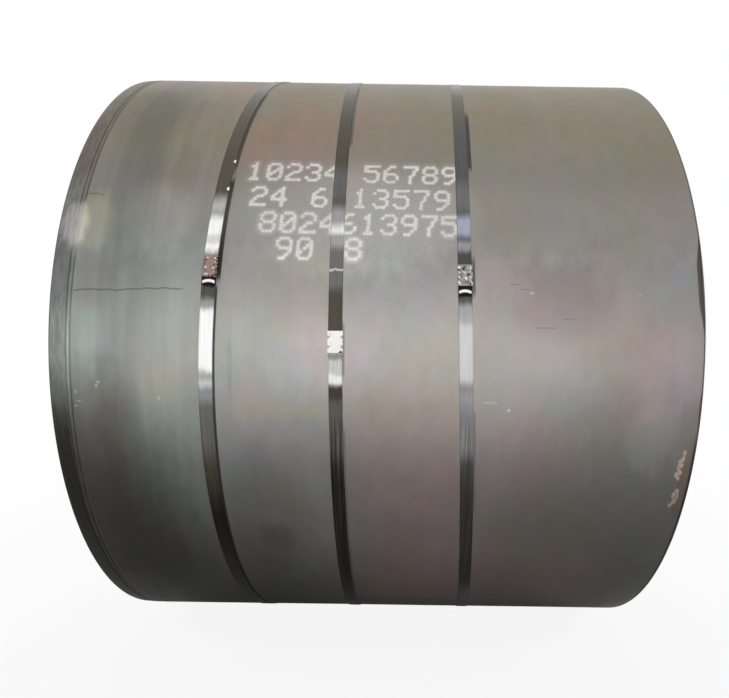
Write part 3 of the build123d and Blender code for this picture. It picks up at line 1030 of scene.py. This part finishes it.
def scale_material():
    """Hot-rolled mill scale: satin grey oxide with streaks along the strip, stains and wear, and
    painted light, shade and shadow.
    """
    n = Surface("mill_scale")
    along = (1.0, 0.06, 0.06)
    patches = n.noise(3.2, (1.6, 1, 1), 3, 0.5, 0.4)
    hue = n.noise(5.0, (1.2, 0.8, 0.8), 4, 0.55, 0.8)
    streak = n.noise(30.0, along, 4, 0.55)
    fine = n.noise(150.0, along, 3, 0.6)
    mottle = n.noise(22.0, (1.4, 0.8, 0.8), 4, 0.55, 0.3)
    grain = n.noise(420.0, EVEN, 2, 0.6)
    angle = n.angle()
    degrees = n.plus(angle, n.centred(mottle, 5.0))
    # The left third is cooler, greener and more streaked
    left = n.step(n.plus(n.x, n.centred(hue, 0.5)), -0.2, -0.5)
    color = oxide_color(n, degrees, patches, hue, left)

    streaks = n.centred(streak, n.step(left, 0, 1, 0.09, 0.42))
    tone = n.plus(1.0, n.plus(streaks, n.centred(fine, 0.05)))
    tone = n.plus(tone, n.centred(mottle, 0.2))
    tone = n.plus(tone, n.centred(n.noise(10.0, EVEN, 5, 0.75), 0.16))
    # Painted light: a little brighter across a band of the upper front
    tone = n.lift(tone, n.window(degrees, 11.0, 17.0, 21.0, 28.0), 0.1)
    tone = n.plus(tone, n.centred(grain, 0.06))
    place = n.plus(n.x, n.centred(streak, 0.05))
    dull_band = n.window(place, -0.655, -0.625, -0.56, -0.49)
    tone = n.times(tone, n.step(dull_band, 0, 1, 1.0, 0.83))
    bore_color = n.scale_color(color, tone)

    color = n.scale_color(color, crease_tone(n, tone, degrees))
    color = add_stains_and_shading(n, color, angle, degrees)
    color = add_edge_marks_and_shade(n, color, angle, degrees)
    color = add_strap_shadows(n, color, degrees)

    # Sprayed paint, with a haze round it
    breakup = n.noise(240.0, EVEN, 3, 0.6)
    paint = n.times(n.attribute("spray"), n.step(breakup, 0.3, 0.5, 0.8, 1.0))
    haze = n.patch(-0.085, 19.5, 0.27, 8.6, degrees, 0.9)
    haze = n.times(haze, n.step(n.x, -0.3, 0.05, 0.45, 1.0))
    haze = n.times(haze, n.step(breakup, 0.25, 0.7, 0.16, 0.32))
    color = n.mix(n.math("MAXIMUM", paint, haze), color, PAINT)

    # None of that is inside the bore
    color = n.mix(n.step(n.radius(), 0.7, 0.6), color, bore_color)

    # The ends, with dark seams
    end = n.attribute("end")
    color = n.mix(end, color, end_color(n, patches))
    color = n.mix(n.attribute("groove"), color, SEAM)

    rough = n.plus(n.step(patches, 0.3, 0.7, 0.4, 0.5), n.centred(fine, 0.12))
    rough = n.lift(n.lift(rough, paint, 0.25), end, 0.12)
    normal = n.bump(n.plus(n.times(fine, 0.5), n.times(grain, 0.5)), 0.00012, 0.6)
    return n.finish(color, rough, normal, Metallic=0.0, Specular_IOR_Level=0.2)


# Painted reflections and shade along a strap, over its dark base: angle, half angle, softness and
# colour
STRAP_REFLECTIONS_AND_SHADE = {
    "left": (
        (-41.0, 18.5, 6.0, (0.018, 0.016, 0.014)), (-12.2, 4.2, 2.4, (0.17, 0.168, 0.16)),
        (20.8, 1.4, 1.4, (0.46, 0.46, 0.44)), (16.2, 2.9, 1.0, (0.92, 0.92, 0.9)),
        (15.3, 0.7, 0.5, (0.66, 0.67, 0.66)), (0.6, 4.7, 1.1, (0.99, 0.99, 0.98)),
        (-5.6, 0.9, 1.1, (0.6, 0.62, 0.62)), (-7.4, 1.0, 1.2, (0.29, 0.31, 0.33)),
        (5.9, 0.6, 0.7, (0.34, 0.34, 0.34)), (9.0, 0.75, 0.25, (0.018, 0.017, 0.016)),
    ),
    "middle": (
        (-38.0, 20.0, 4.0, (0.034, 0.029, 0.025)), (25.0, 3.0, 2.0, (0.13, 0.13, 0.13)),
        (-12.0, 4.2, 2.0, (0.14, 0.135, 0.12)), (-6.7, 0.9, 0.5, (0.065, 0.06, 0.052)),
        (11.2, 3.0, 1.0, (0.165, 0.163, 0.158)), (19.0, 1.9, 1.2, (0.33, 0.33, 0.33)),
        (17.0, 0.9, 0.9, (0.8, 0.8, 0.79)), (15.2, 1.0, 0.9, (0.37, 0.37, 0.37)),
        (11.0, 0.16, 0.12, (0.6, 0.58, 0.54)), (-2.6, 3.0, 0.5, (0.62, 0.61, 0.58)),
        (-4.7, 0.6, 0.4, (0.9, 0.89, 0.87)), (-1.4, 0.5, 0.4, (0.3, 0.29, 0.28)),
    ),
    "right": (
        (-40.0, 20.0, 5.0, (0.056, 0.05, 0.045)), (-54.0, 6.0, 5.0, (0.17, 0.16, 0.15)),
        (50.0, 10.0, 5.0, (0.1, 0.09, 0.065)), (-11.8, 4.2, 1.8, (0.28, 0.275, 0.285)),
        (23.0, 2.5, 1.5, (0.16, 0.16, 0.165)), (18.0, 1.6, 0.8, (0.36, 0.39, 0.48)),
        (14.8, 0.8, 0.7, (0.3, 0.3, 0.32)), (12.6, 1.0, 0.5, (0.08, 0.08, 0.08)),
        (5.0, 1.2, 0.8, (0.4, 0.4, 0.41)), (-0.8, 4.6, 1.2, (0.64, 0.64, 0.64)),
        (-7.2, 1.6, 1.5, (0.35, 0.35, 0.36)), (8.15, 0.85, 0.25, (0.018, 0.016, 0.015)),
    ),
}
# How strong the streaks low on each strap are, the angle of each curled end that shows, and the
# dark bases, oily film and painted dark reflection
STRAP_STREAKS = {"left": 0.18, "middle": 0.45, "right": 0.28}
STRAP_LIPS = {"left": 9.08, "right": 8.12}
STRAP_FILM_AND_SHADE = {
    "left": (0.097, 0.087, 0.066),
    "middle": (0.088, 0.08, 0.064),
    "right": (0.1, 0.099, 0.1),
}
# Bare chips in each strap's film: X and angle
STRAP_CHIPS = {"left": ((-0.358, 29.3), (-0.363, 23.9))}


def strap_material(lay):
    """Steel strapping: a dark base of oily film and painted dark reflection, with painted bright
    reflections and shade along it, and fine lines along it.
    """
    n = Surface(f"strap_{lay.name}")
    lines = n.noise(500.0, (1.0, 0.02, 0.02), 3, 0.6)
    film = n.noise(4.0, (0.3, 1, 1), 3, 0.55, 0.3)
    smear = n.noise(60.0, (1.0, 0.4, 0.4), 3, 0.6)
    angle = n.angle()
    degrees = n.plus(angle, n.centred(smear, 1.2))
    # Out of the photo's sight the film comes and goes
    behind = n.step(n.y, 0.15, 0.45)
    # Dark base: oily film, and painted dark reflection at the front
    color = n.mix(n.times(behind, n.step(film, 0.44, 0.6)), STRAP_FILM_AND_SHADE[lay.name],
                  (0.34, 0.34, 0.35))
    # Painted reflections and shade along the strap
    for middle, half, soft, level in STRAP_REFLECTIONS_AND_SHADE[lay.name]:
        color = n.mix(n.near(degrees, middle, half + soft, half - soft), color, level)
    color = n.scale_color(color, n.step(lines, 0.3, 0.7, 0.9, 1.08))
    # Low down the film is drawn out into streaks
    depth = STRAP_STREAKS[lay.name]
    streaks = n.step(n.noise(260.0, (1.0, 0.01, 0.01), 2, 0.5), 0.36, 0.64, -depth, depth)
    low = n.window(degrees, -80.0, -60.0, -14.0, -8.0)
    color = n.scale_color(color, n.lift(1.0, streaks, low))
    across = n.math("ABSOLUTE", strap_offset(n, lay))
    if lay.name in STRAP_LIPS:
        # The tail's curled end catches the light, lower towards its corners
        bow = n.times(n.times(across, across), 0.28 / STRAP_HALF_WIDTH ** 2)
        lip = n.times(n.near(n.plus(angle, bow), STRAP_LIPS[lay.name], 0.26, 0.14),
                      n.step(across, 0.015, 0.013))
        color = n.mix(lip, color, (0.93, 0.92, 0.9))
    # Painted shade along both edges of the strap
    color = n.mix(n.step(across, 0.014, 0.016), color, (0.6, 0.6, 0.6), "MULTIPLY")
    for x, middle in STRAP_CHIPS.get(lay.name, ()):
        chip = n.patch(x, middle, 0.005, 0.32, angle, 0.3)
        color = n.mix(chip, color, (0.95, 0.95, 0.93))
    rough = n.step(film, 0.3, 0.7, 0.24, 0.36)
    return n.finish(color, rough, n.bump(lines, 0.00003, 0.5), Metallic=1.0)


# Each seal: slot, two tones, the blotches' level where they part, and the colour of its painted
# glints
SEAL_FINISHES = {
    "left": ("seal_rusted", (0.34, 0.245, 0.21), (0.2, 0.14, 0.115), 0.54, (0.9, 0.82, 0.76)),
    "middle": ("seal_steel", (0.96, 0.945, 0.92), (0.8, 0.79, 0.77), 0.6, (1.0, 1.0, 1.0)),
    "right": ("seal_steel", (0.4, 0.39, 0.385), (0.2, 0.19, 0.19), 0.5, (0.93, 0.915, 0.9)),
}


def seal_material(name, clean, dark, share, highlight):
    """Pressed steel seal: two tones in blotches, with painted glints and painted shade."""
    n = Surface(f"seal_{name}")
    blotch = n.noise(260.0, EVEN, 4, 0.6, 0.5)
    fine = n.noise(1400.0, EVEN, 2, 0.6)
    color = n.mix(n.step(blotch, share, share + 0.12), clean, dark)
    tone = n.plus(n.attribute("tone"), n.centred(blotch, 0.25))
    # Painted glints, and painted shade
    color = n.mix(n.step(tone, 0.1, 0.85), color, highlight)
    color = n.mix(n.step(tone, -0.1, -0.85), color, (0.02, 0.017, 0.014))
    color = n.scale_color(color, n.step(fine, 0.3, 0.7, 0.88, 1.08))
    rough = n.step(blotch, 0.3, 0.7, 0.28, 0.5)
    normal = n.bump(n.lift(blotch, fine, 0.3), 0.00012, 0.6)
    return n.finish(color, rough, normal, Metallic=1.0)


# The studio

WHITE = (1.0, 1.0, 1.0)
FLOOR_HALF = 40.0
FLOOR_DULL = (0.2, 0.2, 0.2)
FLOOR_PALE = (0.92, 0.92, 0.92)
WORLD_COLOR = (0.95, 0.97, 1.0)
WORLD_LEVEL = 0.08
# Lamps: name, place, target, width, height, radiance, spread in degrees, colour
LAMPS = (
    ("band", (0.05, -3.3, 0.02), (0.05, 0.0, 0.02), 4.5, 0.25, 0.36, 14, WHITE),
    ("peak", (-0.15, -3.3, -0.02), (-0.15, 0.0, -0.02), 1.24, 0.2, 0.58, 11, WHITE),
    ("middle", (0.02, -3.3, 0.0), (0.02, 0.0, 0.0), 1.3, 0.4, 1.0, 30, WHITE),
    ("rise", (0.05, -3.3, 0.9), (0.05, -0.7, 0.15), 4.5, 0.5, 0.3, 40, WHITE),
    ("upper", (0.05, -2.8, 2.0), (0.05, -0.7, 0.15), 4.5, 0.8, 0.24, 60, WHITE),
    ("high", (0.1, -1.6, 2.8), (0.1, -0.7, 0.15), 2.6, 1.0, 4.2, 180, (1.0, 0.985, 0.95)),
    ("end_left", (-3.6, 0.1, 0.6), (-0.75, 0.0, 0.0), 1.6, 1.6, 6.0, 180, WHITE),
    ("end_right", (3.6, 0.1, 0.6), (0.75, 0.0, 0.0), 1.6, 1.6, 6.0, 180, WHITE),
    ("back", (-0.3, 3.8, 1.2), (0.0, 0.0, 0.0), 3.2, 1.6, 4.6, 180, WHITE),
)
# The photograph's camera, at the height of the coil's axis and a little right of its middle.
# Angles in radians, lens and sensor in millimetres
CAMERA_PLACE = (0.05, -2.223, 0.0)
CAMERA_YAW, CAMERA_PITCH, CAMERA_ROLL = -0.002, -0.0219, -0.0148
CAMERA_LENS = 28.262
CAMERA_SENSOR = 36.0
CAMERA_SHIFT = (-0.0486, 0.0146)


def build_stage():
    """A plain pale floor under the straps, fading to white with distance."""
    n = Surface("floor")
    far = n.math("SQRT", n.squares(n.x, n.y))
    fade = n.mix(n.ray("Camera"), n.step(far, 1.0, 4.0, 0.05, 1.0), n.step(far, 0.8, 4.0, 0.9, 1.0))
    dull = n.node("ShaderNodeBsdfDiffuse", {"Color": FLOOR_DULL})
    pale = n.node("ShaderNodeBsdfDiffuse", {"Color": FLOOR_PALE})
    white = n.node("ShaderNodeEmission", {"Color": WHITE})
    seen = n.node("ShaderNodeMixShader", {0: fade, 1: pale, 2: white})
    n.end_with("Material Output", n.seen_by_eye(), dull, seen)
    mesh = bpy.data.meshes.new("floor")
    mesh.from_pydata([(FLOOR_HALF * a, FLOOR_HALF * b, cad_box[0].z)
                      for a, b in ((-1, -1), (1, -1), (1, 1), (-1, 1))], [], [(0, 1, 2, 3)])
    mesh.materials.append(n.owner)
    floor = bpy.data.objects.new("floor", mesh)
    bpy.context.scene.collection.objects.link(floor)


def build_world():
    """White to the eye and in gloss; a dim even light for the rest."""
    world = bpy.data.worlds.new("studio")
    bpy.context.scene.world = world
    n = Nodes(world)
    dim = n.tree.nodes["Background"]
    n.feed(dim.inputs["Color"], WORLD_COLOR)
    n.feed(dim.inputs["Strength"], WORLD_LEVEL)
    white = n.node("ShaderNodeBackground", {"Color": WHITE})
    n.end_with("World Output", n.seen_by_eye(), dim.outputs[0], white)


def build_lights():
    """Soft boxes. A radiance of 1 looks white."""
    for name, place, target, width, height, radiance, spread, color in LAMPS:
        data = bpy.data.lights.new(name, "AREA")
        data.spread = math.radians(spread)
        data.shape = "RECTANGLE"
        data.size, data.size_y = width, height
        data.energy = radiance * math.pi * width * height
        data.color = color
        lamp = bpy.data.objects.new(name, data)
        lamp.location = place
        look = Vector(target) - Vector(place)
        lamp.rotation_mode = "QUATERNION"
        lamp.rotation_quaternion = look.to_track_quat("-Z", "Y")
        lamp.visible_camera = False
        lamp.visible_glossy = False
        bpy.context.scene.collection.objects.link(lamp)


def build_camera():
    """The photograph's camera, rolled, pitched and then turned about Z."""
    data = bpy.data.cameras.new("camera")
    data.sensor_width = CAMERA_SENSOR
    data.lens = CAMERA_LENS
    data.shift_x, data.shift_y = CAMERA_SHIFT
    camera = bpy.data.objects.new("camera", data)
    forward = Vector((0, math.cos(CAMERA_PITCH), math.sin(CAMERA_PITCH)))
    down = Vector((0, math.sin(CAMERA_PITCH), -math.cos(CAMERA_PITCH)))
    right = Vector((1, 0, 0)) * math.cos(CAMERA_ROLL) + down * math.sin(CAMERA_ROLL)
    spin = Matrix.Rotation(CAMERA_YAW, 3, "Z")
    right, forward = spin @ right, spin @ forward
    up = right.cross(forward)
    turn = Matrix((right, up, -forward)).transposed()
    camera.matrix_world = Matrix.Translation(CAMERA_PLACE) @ turn.to_4x4()
    bpy.context.scene.collection.objects.link(camera)
    bpy.context.scene.camera = camera


def build_all():
    """The coil with its paint, the straps, their seals, and the studio."""
    scale = scale_material()
    build_coil(scale)
    build_marking(scale)
    for lay in STRAP_LAYS:
        build_strap(lay, strap_material(lay))
    for lay in STRAP_LAYS:
        slot, *tones = SEAL_FINISHES[lay.name]
        build_seal(lay, seal_material(lay.name, *tones))
    build_stage()
    build_world()
    build_lights()
    build_camera()
    bpy.context.scene.view_settings.view_transform = "Standard"


build_all()
